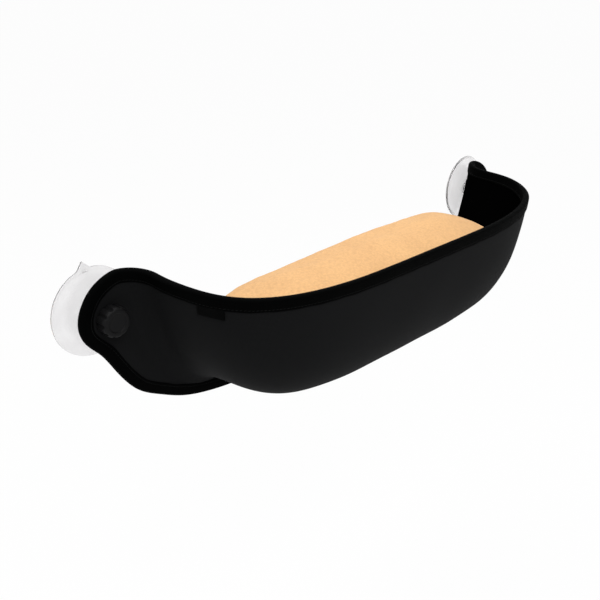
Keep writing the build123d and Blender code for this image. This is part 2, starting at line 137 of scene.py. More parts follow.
class PerchFabric(PropertyGroup):
    """Sizes and colours of the fabric hull, its tape and its label."""

    face_colour: colour_setting("Face colour", "Colour of the hull's knitted face", (0.0068, 0.0070, 0.0074))
    lining_colour: colour_setting("Lining colour", "Colour of its inner face", (0.0010, 0.0010, 0.0011))
    tape_colour: colour_setting("Tape colour", "Colour of the binding tape", (0.0007, 0.0008, 0.0008))
    fold_depth: length_setting("Fold depth", "Height of the soft folds beside the ears", 0.0011, 0, 0.004)
    tape_width: length_setting("Tape width", "Width of the tape on each face", 0.011, 0.006, 0.016)
    stitch_pitch: length_setting("Stitch pitch", "Distance from one stitch to the next", 0.0036, 0.002, 0.008)


class PerchCushion(PropertyGroup):
    """Sizes and colour of the fleece cushion."""

    fleece_colour: colour_setting("Fleece colour", "Colour of the fleece cover", (0.97, 0.555, 0.255))
    pressure: FloatProperty(
        name="Filling pressure", description="Pressure of the filling", min=0, max=12, default=4)
    swell: length_setting("Largest swell", "How far the simulation may move a point", 0.002, 0, 0.02)
    voxel: length_setting("Cloth cell", "Size of the cloth's cells in the simulation", 0.005, 0.003, 0.01)


class PerchFittings(PropertyGroup):
    """Sizes and colours of the cups, knobs and metal pieces."""

    cup_colour: colour_setting("Cup colour", "Colour of the cups' clear soft plastic", (0.905, 0.89, 0.90))
    knob_colour: colour_setting("Knob colour", "Colour of the moulded knobs", (0.0040, 0.0040, 0.0043))
    metal_colour: colour_setting("Metal colour", "Colour of the studs and inserts", (0.60, 0.61, 0.63))
    flutes: IntProperty(name="Flutes", description="Finger flutes round each knob", min=6, max=16, default=10)


class PerchStage(PropertyGroup):
    """Light and colours of the stage."""

    floor_colour: colour_setting("Floor colour", "Colour of the floor", (0.94, 0.94, 0.94))
    key_power: FloatProperty(
        name="Key light", description="Power of the main light", unit="POWER", min=0, max=200, default=36)
    floor_drop: length_setting("Floor drop", "Height of the floor under the frame's origin", 0.55, 0.2, 2)


# Surface of the sheet, as arrays in millimetres


def corner_pair(angle, power):
    """The two shares of a rounded corner whose sides follow the given power."""
    across, along = np.cos(angle), np.sin(angle)
    size = (across**power + along**power) ** (1 / power)
    return across / size, along / size


def lengths_along(points):
    """Distance along a line of points, at each of them."""
    steps = np.linalg.norm(np.diff(points, axis=0), axis=1)
    return np.concatenate([[0.0], np.cumsum(steps)])


def resampled(points, count):
    """The same line with a number of points at even distances."""
    run = lengths_along(points)
    wanted = np.linspace(0, run[-1], count)
    return np.stack([np.interp(wanted, run, points[:, axis]) for axis in range(points.shape[1])], axis=1)


def plan_of_rim():
    """Close points of half the rim in plan, as x and depth, up to the ear's plane."""
    share = CREASE_RADIUS / REACH
    leg_angle = math.atan2(share, (1 - share**RIM_POWER) ** (1 / RIM_POWER))
    across, along = corner_pair(np.linspace(math.pi / 2, leg_angle, 4000), RIM_POWER)
    leg_x = HALF_LENGTH * across[-1]
    turn = np.linspace(0, math.pi / 2, 400)[1:]
    arc = np.stack([leg_x + CREASE_RADIUS * (1 - np.cos(turn)), CREASE_RADIUS * (1 - np.sin(turn))], axis=1)
    return np.concatenate([np.stack([HALF_LENGTH * across, REACH * along], axis=1), arc])


PLAN = plan_of_rim()
PLAN_RUN = lengths_along(PLAN)
FOLD_RUN = float(PLAN_RUN[-1])
FOLD_X = float(PLAN[-1, 0])
JOINT_RUN = FOLD_RUN + JOINT_X - FOLD_X


def settle_curve():
    """Smooth drop of the rim under the cushion's weight, at even steps along the rim."""
    steps = np.arange(-80, 521)
    drops = np.interp(np.abs(steps), SETTLE_RUNS, SETTLE_DROPS)
    window = np.hanning(51)
    return steps, np.convolve(np.pad(drops, 25, mode="edge"), window / window.sum(), mode="valid")


SETTLE_STEPS, SETTLE = settle_curve()


def station(run):
    """Place along the pane, depth, and share of the way to the crease, at a run along the rim."""
    if run >= FOLD_RUN:
        return FOLD_X + run - FOLD_RUN, 0.0, run / FOLD_RUN
    x, depth = (float(np.interp(run, PLAN_RUN, PLAN[:, axis])) for axis in (0, 1))
    return x, depth, run / FOLD_RUN


def rim_and_keel(run):
    """Rim point, keel corner, hem corner and power of the line of the sheet at a run along the rim."""
    x, depth, way = station(run)
    bulge = depth / REACH
    inward = min(1.0, x / FOLD_X)
    flare = max(0.0, (x - FOLD_X) / (FLARE_X - FOLD_X))
    corner = inward**4 * (4 * bulge * (1 - bulge)) ** 0.75
    swell = CORNER_SWELL * corner
    drop = np.interp(run, SETTLE_STEPS, SETTLE)
    rim = np.array([x + swell, -STAND_OFF - depth, EAR_TOP - drop - (EAR_TOP - FRONT_RIM) * bulge**0.9])
    rise = CREASE_RISE * inward**3 * (1 - bulge) + CORNER_RISE * corner - KEEL_DROP * (1 - (1 - bulge) ** 3)
    keel = np.array([
        x * (KEEL_WIDTH + (1 - KEEL_WIDTH) * flare) + swell,
        -STAND_OFF - depth * (KEEL_REACH - KEEL_TUCK * corner),
        KEEL + rise - 7 * flare,
    ])
    hem = np.array([
        CREASE_FOOT * way + 300 * max(0.0, way - 1), -STAND_OFF, HEM_BEND - 60 * max(0.0, way - 0.9),
    ])
    power = SECTION_POWER + (CREASE_POWER - SECTION_POWER) * inward**3 * (1 - bulge) - 0.8 * corner
    return rim, keel, hem, power


def close_line(run, count=500):
    """Close points of one line of the sheet, from the rim along wall and floor past the back edge."""
    rim, keel, hem, power = rim_and_keel(run)
    last = math.acos(HEM_RADIUS / np.linalg.norm(keel - hem))
    across, along = corner_pair(np.linspace(0, last, count), power)
    points = rim + hem - keel + np.outer(across, keel - hem) + np.outer(along, keel - rim)
    start, end = points[-1], hem - np.array([0, 0, HEM_RADIUS])
    part = np.linspace(0, 1, 30)[1:, None]
    bend = start * (1 - part) ** 2 + hem * (2 * part * (1 - part)) + end * part**2
    tail = np.array([[end[0], end[1], z] for z in np.linspace(end[2], BACK_EDGE - 8, 12)[1:]])
    return np.concatenate([points, bend, tail])


def clamped_curve(points, first, last, count):
    """Smooth curve through points in a plane, with given directions at its ends."""
    points = np.array(points, float)
    knots = lengths_along(points)
    gaps = np.diff(knots)
    size = len(points)
    rows = np.zeros((size, size))
    right = np.zeros((size, 2))
    rows[0, 0] = rows[-1, -1] = 1
    right[0], right[-1] = first, last
    for place in range(1, size - 1):
        before, after = gaps[place - 1], gaps[place]
        rows[place, place - 1:place + 2] = after, 2 * (before + after), before
        right[place] = 3 * (
            after * (points[place] - points[place - 1]) / before
            + before * (points[place + 1] - points[place]) / after
        )
    slopes = np.linalg.solve(rows, right)
    spots = np.linspace(0, knots[-1], count)
    place = np.clip(np.searchsorted(knots, spots, side="right") - 1, 0, size - 2)
    gap = gaps[place][:, None]
    part = ((spots - knots[place]) / gaps[place])[:, None]
    return (
        (2 * part**3 - 3 * part**2 + 1) * points[place] + (part**3 - 2 * part**2 + part) * gap * slopes[place]
        + (3 * part**2 - 2 * part**3) * points[place + 1] + (part**3 - part**2) * gap * slopes[place + 1]
    )


def ear_outline(count=900):
    """Edge of the right ear and hem in the ear's plane, from the tape's joint to the straight back edge."""
    inner = [(EAR_REACH * across, BACK_EDGE * below) for across, below in EAR_SHARES]
    joint = (JOINT_X, EAR_TOP - np.interp(JOINT_RUN, SETTLE_STEPS, SETTLE))
    return clamped_curve([joint, *inner, (HEM_END, BACK_EDGE)], (1, 0), (-1, 0), count)


EAR_EDGE = ear_outline()


def inside_outline(points):
    """Whether points in the ear's plane, on the right half, are inside the sheet's outline."""
    top = EAR_TOP + 0.001
    ring = np.concatenate([EAR_EDGE[::6], [(HEM_END, BACK_EDGE), (-5, BACK_EDGE), (-5, top), (JOINT_X, top)]])
    x, z = points[:, 0][:, None], points[:, 2][:, None]
    x1, z1 = ring[:, 0], ring[:, 1]
    x2, z2 = np.roll(x1, -1), np.roll(z1, -1)
    crosses = (z1 > z) != (z2 > z)
    slope = np.where(z2 == z1, 1e-9, z2 - z1)
    return (np.sum(crosses & (x < (x2 - x1) * (z - z1) / slope + x1), axis=1) % 2) == 1


def trimmed_line(run, count):
    """One line of the sheet cut to the sheet's outline, with its points at even distances."""
    line = resampled(close_line(run), 1600)
    flat = line[:, 1] > -STAND_OFF - 0.4
    kept = ~flat | inside_outline(line)
    spots = np.nonzero(kept)[0]
    if len(spots) < 4:
        return None
    middle = spots[len(spots) // 2]
    first = last = middle
    while first > 0 and kept[first - 1]:
        first -= 1
    while last < len(line) - 1 and kept[last + 1]:
        last += 1
    return resampled(line[first:last + 1], count)


def distance_to_edge(grid):
    """Distance of a grid's points from the sheet's outline, for those in the ears' plane."""
    points = grid.reshape(-1, 3) * np.where(grid.reshape(-1, 3)[:, :1] < 0, MIRROR, 1)
    away = np.full(len(points), 99.0)
    flat = points[:, 1] > -STAND_OFF - 1.0
    gaps = points[flat][:, None, [0, 2]] - EAR_EDGE[None, ::12]
    if flat.any():
        away[flat] = np.sqrt((gaps**2).sum(axis=2)).min(axis=1)
    return away.reshape(grid.shape[:-1])


def sheet_grid():
    """Middle surface of the sheet as a grid of points, with its normals, runs and lengths."""
    lines, used = [], []
    for run in np.linspace(0, FOLD_RUN + EAR_TIP - FOLD_X, GRID_COLUMNS):
        line = trimmed_line(max(run, 0.01), GRID_ROWS)
        if line is not None:
            lines.append(line)
            used.append(run)
    half = np.array(lines)
    mirrored = half[:0:-1] * MIRROR
    grid = np.concatenate([mirrored, half])
    used = np.array(used)
    run_of = np.concatenate([-used[:0:-1], used])
    along = np.gradient(grid, axis=0)
    down = np.gradient(grid, axis=1)
    normals = np.cross(down, along)
    normals /= np.linalg.norm(normals, axis=2, keepdims=True)
    if normals[len(grid) // 2, 2, 1] > 0:
        normals = -normals
    steps = np.linalg.norm(np.diff(grid, axis=1), axis=2)
    length = np.concatenate([np.zeros((len(grid), 1)), np.cumsum(steps, axis=1)], axis=1)
    return grid, normals, run_of, length


def edge_distance(grid, length):
    """Distance of the grid's points from the sheet's edge, along the lines and across the ears."""
    return np.minimum(np.minimum(length, length[:, -1:] - length), distance_to_edge(grid))


def soft_folds(grid, run_of, length, depth):
    """Height of the sheet's soft folds and waves over its grid, none at the tape and at the eyelets."""
    side = np.abs(run_of)[:, None]
    sign = np.sign(run_of)[:, None]
    total = length[:, -1:]
    near_edge = edge_distance(grid, length)
    edge = np.clip((near_edge - 12) / 26, 0, 1)
    edge = edge * edge * (3 - 2 * edge)
    hole = np.clip((np.hypot(np.abs(grid[..., 0]) - HOLE_X, grid[..., 2]) - 17) / 24, 0, 1)
    run = run_of[:, None]
    wave = 0.35 * np.sin(run / 31 + length / 47 + 0.6) * np.sin(length / 38 + 0.4 + run / 90)
    wave += 0.22 * np.sin(run / 17 - length / 23 + 2.1) * np.sin(length / 19 + 1.3)
    crease = np.exp(-(((side - FOLD_RUN * 0.985) / 34) ** 2))
    ripple = np.sin((side - FOLD_RUN) / 5.6 + length / 60 * sign + 0.7)
    fold = crease * ripple * np.sin(length / total * math.pi)
    drag = np.exp(-(((side - FOLD_RUN * 1.03) / 22) ** 2)) * np.exp(-(((length - 62) / 34) ** 2))
    height = wave + fold * depth / MILLIMETRE - drag * 0.9
    pucker = np.exp(-((near_edge - 15) / 4.5) ** 2) * 0.10 * np.sin(run / 1.9 + 1.1 * np.sin(run / 11))
    return height * edge * hole + pucker * hole


# Meshes


def new_object(name, points, faces, charts=None, smooth=True):
    """Object in metres from points in millimetres, with the flat coordinates that charts gives."""
    mesh = bpy.data.meshes.new(name)
    mesh.from_pydata((np.asarray(points) * MILLIMETRE).tolist(), [], [tuple(face) for face in faces])
    mesh.update()
    if charts is not None:
        layer = mesh.uv_layers.new(name="cloth")
        corners = np.zeros(len(mesh.loops), dtype=np.int64)
        mesh.loops.foreach_get("vertex_index", corners)
        layer.data.foreach_set("uv", (np.asarray(charts)[corners] * MILLIMETRE).ravel())
    made = bpy.data.objects.new(name, mesh)
    bpy.context.scene.collection.objects.link(made)
    face_outwards(made)
    if smooth:
        mesh.polygons.foreach_set("use_smooth", [True] * len(mesh.polygons))
        mesh.update()
    return made


def face_outwards(made):
    """Turns the faces of a closed mesh outwards."""
    work = bmesh.new()
    work.from_mesh(made.data)
    bmesh.ops.recalc_face_normals(work, faces=work.faces[:])
    work.to_mesh(made.data)
    work.free()


def edges_sharp(made, angle):
    """Marks the edges of a smooth mesh that turn more than an angle as sharp."""
    work = bmesh.new()
    work.from_mesh(made.data)
    for edge in work.edges:
        edge.smooth = not (len(edge.link_faces) == 2 and edge.calc_face_angle(0) > angle)
    work.to_mesh(made.data)
    work.free()


def shell_between(name, low, high, run_of, length, open_at):
    """Closed cloth layer between two grids of points, left out where open_at says."""
    rows, columns = low.shape[:2]
    points = np.concatenate([low.reshape(-1, 3), high.reshape(-1, 3)])
    charts = np.stack([np.repeat(run_of, columns), length.ravel()], axis=1)
    charts = np.concatenate([charts, charts])
    count = rows * columns
    shut = open_at.reshape(rows, columns)
    kept = ~(shut[:-1, :-1] | shut[1:, :-1] | shut[:-1, 1:] | shut[1:, 1:])
    faces = []
    for row in range(rows - 1):
        for column in range(columns - 1):
            if not kept[row, column]:
                continue
            a = row * columns + column
            b, c, d = a + 1, a + columns + 1, a + columns
            faces.append((a, b, c, d))
            faces.append((a + count, d + count, c + count, b + count))
            if column == 0 or not kept[row, column - 1]:
                faces.append((a, d, d + count, a + count))
            if column == columns - 2 or not kept[row, column + 1]:
                faces.append((b, b + count, c + count, c))
            if row == 0 or not kept[row - 1, column]:
                faces.append((a, a + count, b + count, b))
            if row == rows - 2 or not kept[row + 1, column]:
                faces.append((d, c, c + count, d + count))
    used = sorted({corner for face in faces for corner in face})
    place = {old: new for new, old in enumerate(used)}
    faces = [tuple(place[corner] for corner in face) for face in faces]
    return new_object(name, points[used], faces, charts[used])


def tube_between(count, size, closed_path=False):
    """Faces that join a count of rings one after another, each with the same size."""
    faces = []
    for ring in range(count if closed_path else count - 1):
        here, after = ring * size, (ring + 1) % count * size
        for spot in range(size):
            beside = (spot + 1) % size
            faces.append((here + spot, here + beside, after + beside, after + spot))
    return faces


def rim_frame(run):
    """Rim point, direction down the wall and outward direction at a run along the right half of the rim."""
    rim, keel = rim_and_keel(run)[:2]
    far = rim_and_keel(run + 0.4)[0]
    near = rim_and_keel(run - 0.4)[0] if run >= 0.4 else far * MIRROR
    down = (keel - rim) / np.linalg.norm(keel - rim)
    out = np.cross(down, far - near)
    return rim, down, out / np.linalg.norm(out)


def edge_frames():
    """Frames all along the sheet's edge: point, direction into the sheet, outward direction."""
    frames = [np.array(rim_frame(abs(run))) * (MIRROR if run < 0 else 1)
              for run in np.linspace(-JOINT_RUN, JOINT_RUN, 520)]
    spots, downs, outs = np.array(frames).transpose(1, 0, 2)
    ear = resampled(EAR_EDGE, 160)
    turn = np.gradient(ear, axis=0)
    turn /= np.linalg.norm(turn, axis=1, keepdims=True)
    into = np.stack([turn[:, 1], -turn[:, 0]], axis=1)
    floor = np.linspace(HEM_END, -HEM_END, 140)[1:-1]
    right = np.stack([ear[:, 0], np.full(len(ear), -STAND_OFF), ear[:, 1]], axis=1)
    right_into = np.stack([into[:, 0], np.zeros(len(ear)), into[:, 1]], axis=1)
    spots = np.concatenate([
        spots, right[1:], [[x, -STAND_OFF, BACK_EDGE] for x in floor], (right * MIRROR)[::-1][:-1],
    ])
    left_into = (right_into * MIRROR)[::-1][:-1]
    downs = np.concatenate([downs, right_into[1:], [[0, 0, 1]] * len(floor), left_into])
    outs = np.concatenate([outs, [[0, -1, 0]] * (len(spots) - len(outs))])
    return spots, downs, outs


def tape_profile(width):
    """Closed outline of the folded tape as distances outwards and into the sheet."""
    far, near = SHEET_HALF + 1.25, SHEET_HALF + 0.3
    skin = [
        (far - 0.55, width), (far - 0.22, width - 0.12), (far - 0.02, width - 0.7), (far, width - 1.6),
        (far - 0.16, width - 2.05), (far - 0.30, width - 2.4), (far - 0.16, width - 2.75),
        (far + 0.02, width - 3.3), (far + 0.06, width * 0.45), (far, 1.6), (far - 0.05, 0.5),
    ]
    crown = [((far - 0.05) * math.cos(a), 0.5 - 2.5 * math.sin(a)) for a in np.linspace(0, math.pi, 11)[1:-1]]
    back = [(-out, down) for out, down in reversed(skin)]
    inner = [(-near, width), (-near, width * 0.5), (-near, 0.2), (-near * 0.6, -0.25), (near * 0.6, -0.25),
             (near, 0.2), (near, width * 0.5), (near, width)]
    return np.array(skin + crown + back + inner)


def make_tape(frames, width, pitch):
    """Folded tape all round the sheet's edge."""
    spots, downs, outs = frames
    profile = tape_profile(width)
    ring = np.concatenate([spots, spots[:1]])
    run = lengths_along(ring)[:-1]
    total = lengths_along(ring)[-1]
    across = lengths_along(np.concatenate([profile, profile[:1]]))[:-1]
    count, size = len(spots), len(profile)
    wave = 0.16 * np.sin(2 * math.pi * np.round(total / 41) * run / total) + 0.12 * np.sin(
        2 * math.pi * np.round(total / 23) * run / total + 1)
    pull = np.cos(2 * math.pi * np.round(total / pitch / 2) * run / total)
    out = profile[None, :, 0] + np.zeros((count, 1))
    down = profile[None, :, 1] + np.zeros((count, 1))
    outer = (np.abs(profile[:, 0]) > SHEET_HALF + 0.5)[None, :] & (profile[:, 1] > 1)[None, :]
    out = out + np.sign(out) * outer * (0.05 * pull[:, None] * np.exp(-((down - width + 2.4) / 2.0) ** 2))
    down = down + (profile[:, 1] > width - 2.2)[None, :] * wave[:, None]
    points = spots[:, None] + outs[:, None] * out[..., None] + downs[:, None] * down[..., None]
    charts = np.stack([np.repeat(run, size), np.tile(across, count)], axis=1)
    return new_object("edge_tape", points.reshape(-1, 3), tube_between(count, size, closed_path=True), charts)


def make_stitches(frames, width, pitch):
    """Rows of stitches on both faces of the tape."""
    closed = [np.concatenate([part, part[:1]]) for part in frames]
    knots = lengths_along(closed[0])
    total = knots[-1]
    stitches = int(total / pitch)
    thread, faces, spin = [], [], np.linspace(0, 2 * math.pi, 7)[:-1]
    lie = ((-0.40, 0.10, -0.30), (-0.30, 0.30, 0.02), (-0.08, 0.36, 0.14), (0.08, 0.36, 0.14),
           (0.30, 0.30, 0.02), (0.40, 0.10, -0.30))
    for number in range(stitches):
        at = (number + 0.5) * total / stitches
        spot, into, away = [
            np.array([np.interp(at, knots, part[:, axis]) for axis in range(3)]) for part in closed]
        into, away = into / np.linalg.norm(into), away / np.linalg.norm(away)
        heading = np.cross(into, away)
        for face in (1, -1):
            base = spot + into * (width - 2.4) + away * face * (SHEET_HALF + 1.02)
            first = len(thread)
            for along, radius, lift in lie:
                centre = base + heading * along * pitch + away * face * lift
                for angle in spin:
                    thread.append(centre + (into * math.cos(angle) + away * math.sin(angle)) * radius * 0.85)
            faces += [tuple(first + corner for corner in quad) for quad in tube_between(len(lie), len(spin))]
            faces.append(tuple(first + corner for corner in reversed(range(len(spin)))))
            faces.append(tuple(first + (len(lie) - 1) * len(spin) + corner for corner in range(len(spin))))
    return new_object("tape_stitches", thread, faces)


def spun(name, outline, segments, reshape=None):
    """Closed solid turned about a line along Y from an outline of radii and distances from the pane."""
    outline = [(max(radius, 0.0), away) for radius, away in outline]
    points, faces, rings = [], [], []
    for radius, away in outline:
        if radius < 1e-6:
            rings.append([len(points)])
            points.append((0.0, -away, 0.0))
            continue
        rings.append(list(range(len(points), len(points) + segments)))
        for step in range(segments):
            angle = 2 * math.pi * step / segments
            far, out = (radius, away) if reshape is None else reshape(angle, radius, away)
            points.append((far * math.cos(angle), -out, far * math.sin(angle)))
    for near, far in zip(rings, rings[1:]):
        for step in range(segments):
            after = (step + 1) % segments
            if len(near) == 1 and len(far) == 1:
                continue
            if len(near) == 1:
                faces.append((near[0], far[step], far[after]))
            elif len(far) == 1:
                faces.append((near[step], far[0], near[after]))
            else:
                faces.append((near[step], far[step], far[after], near[after]))
    if len(rings[0]) > 1 and len(rings[-1]) > 1:
        near, far = rings[-1], rings[0]
        faces += [(near[step], far[step], far[(step + 1) % segments], near[(step + 1) % segments])
                  for step in range(segments)]
    return new_object(name, points, faces)


def to_axis(made, sign):
    """Moves a turned piece to the left or right cup's axis."""
    made.data.transform(Matrix.Translation((sign * HOLE_X * MILLIMETRE, 0, 0)))


def rounded_outline(points, radii, steps=5):
    """Outline whose corners are rounded by the given radii."""
    points = [np.array(point, float) for point in points]
    made = []
    for place, (point, radius) in enumerate(zip(points, radii)):
        if radius <= 0 or place in (0, len(points) - 1):
            made.append(tuple(point))
            continue
        before, after = points[place - 1] - point, points[place + 1] - point
        reach = min(radius, 0.48 * np.linalg.norm(before), 0.48 * np.linalg.norm(after))
        start = point + before / np.linalg.norm(before) * reach
        end = point + after / np.linalg.norm(after) * reach
        for part in np.linspace(0, 1, steps):
            made.append(tuple(start * (1 - part) ** 2 + point * 2 * part * (1 - part) + end * part**2))
    return made


# Cushion


def crown(x, y):
    """Height of the cushion's top in millimetres."""
    return 9.6 + 3 * np.tanh((x + 25) / 60) - 34 * ((-y - 62) / 100) ** 2 - 50 * np.abs(x / 266) ** 4


def cushion_ring(run, count):
    """Closed ring of points round the cushion on one line of the sheet."""
    step = 0.2
    side = -1 if run < 0 else 1
    place = max(abs(run), step)
    lines = [resampled(close_line(place + shift), 260) for shift in (-step, 0, step)]
    along, line = lines[2] - lines[0], lines[1]
    normal = np.cross(np.gradient(line, axis=0), along)
    normal /= np.linalg.norm(normal, axis=1, keepdims=True)
    if normal[3, 1] > 0:
        normal = -normal
    inner = line - normal * (SHEET_HALF + CUSHION_GAP)
    inner = inner[inner[:, 1] < 2 - CUSHION_BACK - CUSHION_GAP]
    wall = inner[inner[:, 2] < crown(side * inner[:, 0], inner[:, 1]) - EDGE_DROP]
    back = np.array([wall[-1, 0], -CUSHION_BACK, 0])
    top_back = crown(side * back[0], back[1]) - EDGE_DROP
    foot = wall[-1, 2] + 9
    ring = list(resampled(wall, 30))
    ring += [np.array([back[0], back[1], foot + (top_back - foot) * part]) for part in np.linspace(0, 1, 10)]
    front = wall[0]
    for part in np.linspace(0, 1, 22)[2:-2]:
        spot = back + (front - back) * part
        ring.append(np.array([spot[0], spot[1], crown(side * spot[0], spot[1])]))
    ring = np.array(ring)
    for _ in range(3):
        after = np.roll(ring, -1, axis=0)
        ring = np.stack([ring * 0.75 + after * 0.25, ring * 0.25 + after * 0.75], axis=1).reshape(-1, 3)
    ring = resampled(np.concatenate([ring, ring[:1]]), count + 1)[:-1]
    return ring * np.array([side, 1, 1])


def cushion_base():
    """Closed starting form of the cushion in millimetres, as points and faces."""
    reach, sections, count = FOLD_RUN * REACH_SHARE, 68, 84
    rings = []
    for run in np.linspace(-reach, reach, sections):
        ring = cushion_ring(run, count)
        part = min(1.0, (reach - abs(run)) / END_TAPER + 0.015)
        share = (1 - (1 - part) ** END_POWER) ** (1 / END_POWER)
        centre = ring.mean(axis=0)
        rings.append(centre + (ring - centre) * share)
    points = np.concatenate(rings)
    faces = tube_between(sections, count)
    faces.append(tuple(range(count)))
    faces.append(tuple(range((sections - 1) * count, sections * count)))
    return points, faces


def baked_mesh(made):
    """The object's mesh with its modifiers applied, put back on the object."""
    graph = bpy.context.evaluated_depsgraph_get()
    mesh = bpy.data.meshes.new_from_object(made.evaluated_get(graph))
    old = made.data
    made.modifiers.clear()
    made.data = mesh
    bpy.data.meshes.remove(old)


def smoothed(made, factor, times, group=""):
    """Smooths an object's mesh, or only a group of its points."""
    ease = made.modifiers.new("ease", "SMOOTH")
    ease.factor, ease.iterations, ease.vertex_group = factor, times, group
    baked_mesh(made)


def vertices_of(mesh):
    """Places of a mesh's vertices as an array."""
    places = np.zeros(len(mesh.vertices) * 3)
    mesh.vertices.foreach_get("co", places)
    return places.reshape(-1, 3)


def set_vertices(mesh, places):
    """Moves a mesh's vertices to the places of an array."""
    mesh.vertices.foreach_set("co", places.ravel())
    mesh.update()


def filled_by_cloth(made, pressure, swell):
    """Blows the cushion up in a cloth simulation, with no point moved further than the largest swell."""
    before = vertices_of(made.data)
    cloth = made.modifiers.new("filling", "CLOTH")
    for label, value in (
        ("quality", 5), ("mass", 0.25), ("tension_stiffness", 12), ("compression_stiffness", 8),
        ("shear_stiffness", 5), ("bending_stiffness", 0.8), ("use_pressure", True),
        ("uniform_pressure_force", pressure),
    ):
        setattr(cloth.settings, label, value)
    cloth.settings.effector_weights.gravity = 0
    cloth.collision_settings.use_collision = False
    cloth.point_cache.frame_start, cloth.point_cache.frame_end = 1, CLOTH_FRAMES
    for number in range(1, CLOTH_FRAMES + 1):
        bpy.context.scene.frame_set(number)
    baked_mesh(made)
    bpy.context.scene.frame_set(1)
    after = vertices_of(made.data)
    move = after - before
    size = np.linalg.norm(move, axis=1, keepdims=True)
    move *= np.minimum(1, swell / np.maximum(size, 1e-9))
    set_vertices(made.data, before + move)


def kept_inside(made, lining_mesh, gap):
    """Pushes the cushion's points back where they come nearer to the lining than the gap."""
    corners = [tuple(point.co) for point in lining_mesh.vertices]
    tree = BVHTree.FromPolygons(corners, [tuple(face.vertices) for face in lining_mesh.polygons])
    places = vertices_of(made.data)
    for number, place in enumerate(places):
        spot, normal = tree.find_nearest(Vector(place), 0.03)[:2]
        if spot is None:
            continue
        signed = (Vector(place) - spot).dot(normal)
        if -0.012 < signed < gap:
            places[number] = np.array(spot + normal * gap)
    set_vertices(made.data, places)


def soft_noise(places, scale, seed):
    """Smooth noise from sums of waves in set directions, from about -1 to 1."""
    spread = np.random.default_rng(seed)
    total = np.zeros(len(places))
    for _ in range(9):
        heading = spread.normal(size=3)
        heading /= np.linalg.norm(heading)
        total += np.sin(places @ heading / scale * spread.uniform(0.7, 1.5) + spread.uniform(0, 6.28))
    return total / 4.2


def cushion_detail(made):
    """Seam round the cushion, the dimple and soft wrinkles of its top, and the lumps of its filling."""
    mesh = made.data
    places = vertices_of(mesh) / MILLIMETRE
    normals = np.zeros(len(places) * 3)
    mesh.vertices.foreach_get("normal", normals)
    normals = normals.reshape(-1, 3)
    x, y, z = places.T
    upward = normals[:, 2]
    top = np.clip((z - crown(x, y) + 26) / 22, 0, 1)
    seam_height = crown(x, y) - 21 + 2.0 * np.sin(x / 60)
    away = np.abs(z - seam_height)
    rim_band = np.exp(-((away / 2.2) ** 2)) * (upward < 0.86)
    gather = np.exp(-((away / 11) ** 2)) * np.sin((x + y * 1.4) / 3.1 + 1.5 * np.sin(x / 13)) * (upward < 0.9)
    dimple = np.exp(-(((x - 62) / 30) ** 2) - ((y + 78) / 17) ** 2) * 2.4
    ripple = np.exp(-(((x - 150) / 70) ** 2)) * np.sin((x * 0.35 + y) / 8.5) * 0.5
    height = (
        -1.5 * rim_band + 0.45 * gather - dimple * top + ripple * top + 0.9 * soft_noise(places, 26, 5)
        + 0.45 * soft_noise(places, 11, 6) * top + 0.10 * soft_noise(places, 2.6, 7)
    )
    set_vertices(mesh, (places + normals * height[:, None]) * MILLIMETRE)


# Materials


def group_tree(name, numbers, vector=False, normal=True):
    """New shader node group with a mask and number inputs, and its input and output nodes."""
    tree = bpy.data.node_groups.new(name, "ShaderNodeTree")
    if vector:
        tree.interface.new_socket(name="Vector", in_out="INPUT", socket_type="NodeSocketVector")
    for label, value in numbers.items():
        socket = tree.interface.new_socket(name=label, in_out="INPUT", socket_type="NodeSocketFloat")
        socket.default_value = value
    tree.interface.new_socket(name="Mask", in_out="OUTPUT", socket_type="NodeSocketFloat")
    if normal:
        tree.interface.new_socket(name="Normal", in_out="OUTPUT", socket_type="NodeSocketVector")
    return tree, tree.nodes.new("NodeGroupInput"), tree.nodes.new("NodeGroupOutput")


def add_node(tree, kind, values=None, **settings):
    """New node with its settings and the values or links of its inputs."""
    made = tree.nodes.new(kind)
    for label, value in settings.items():
        setattr(made, label, value)
    for label, value in (values or {}).items():
        socket = made.inputs[label]
        if isinstance(value, bpy.types.NodeSocket):
            tree.links.new(value, socket)
        else:
            socket.default_value = value
    return made


def joined(tree, operation, first, second):
    """Mask from two masks or values."""
    return add_node(tree, "ShaderNodeMath", {0: first, 1: second}, operation=operation).outputs[0]


def object_noise(tree, scale, detail, **more):
    """Noise on the object's own coordinates."""
    place = tree.nodes.new("ShaderNodeTexCoord").outputs["Object"]
    return add_node(tree, "ShaderNodeTexNoise", {"Vector": place, "Scale": scale, "Detail": detail, **more})


def seen_directly(tree):
    """Mask of the rays that come from the camera, a gloss or a clear piece."""
    path = tree.nodes.new("ShaderNodeLightPath")
    seen = path.outputs["Is Camera Ray"]
    for kind in ("Is Glossy Ray", "Is Transmission Ray"):
        seen = joined(tree, "MAXIMUM", seen, path.outputs[kind])
    return seen


def raised(tree, result, mask, strength, distance):
    """Puts out a mask, and the normal of the relief that it gives."""
    bump = add_node(tree, "ShaderNodeBump", {"Strength": strength, "Distance": distance, "Height": mask})
    tree.links.new(mask, result.inputs["Mask"])
    tree.links.new(bump.outputs["Normal"], result.inputs["Normal"])
    return tree


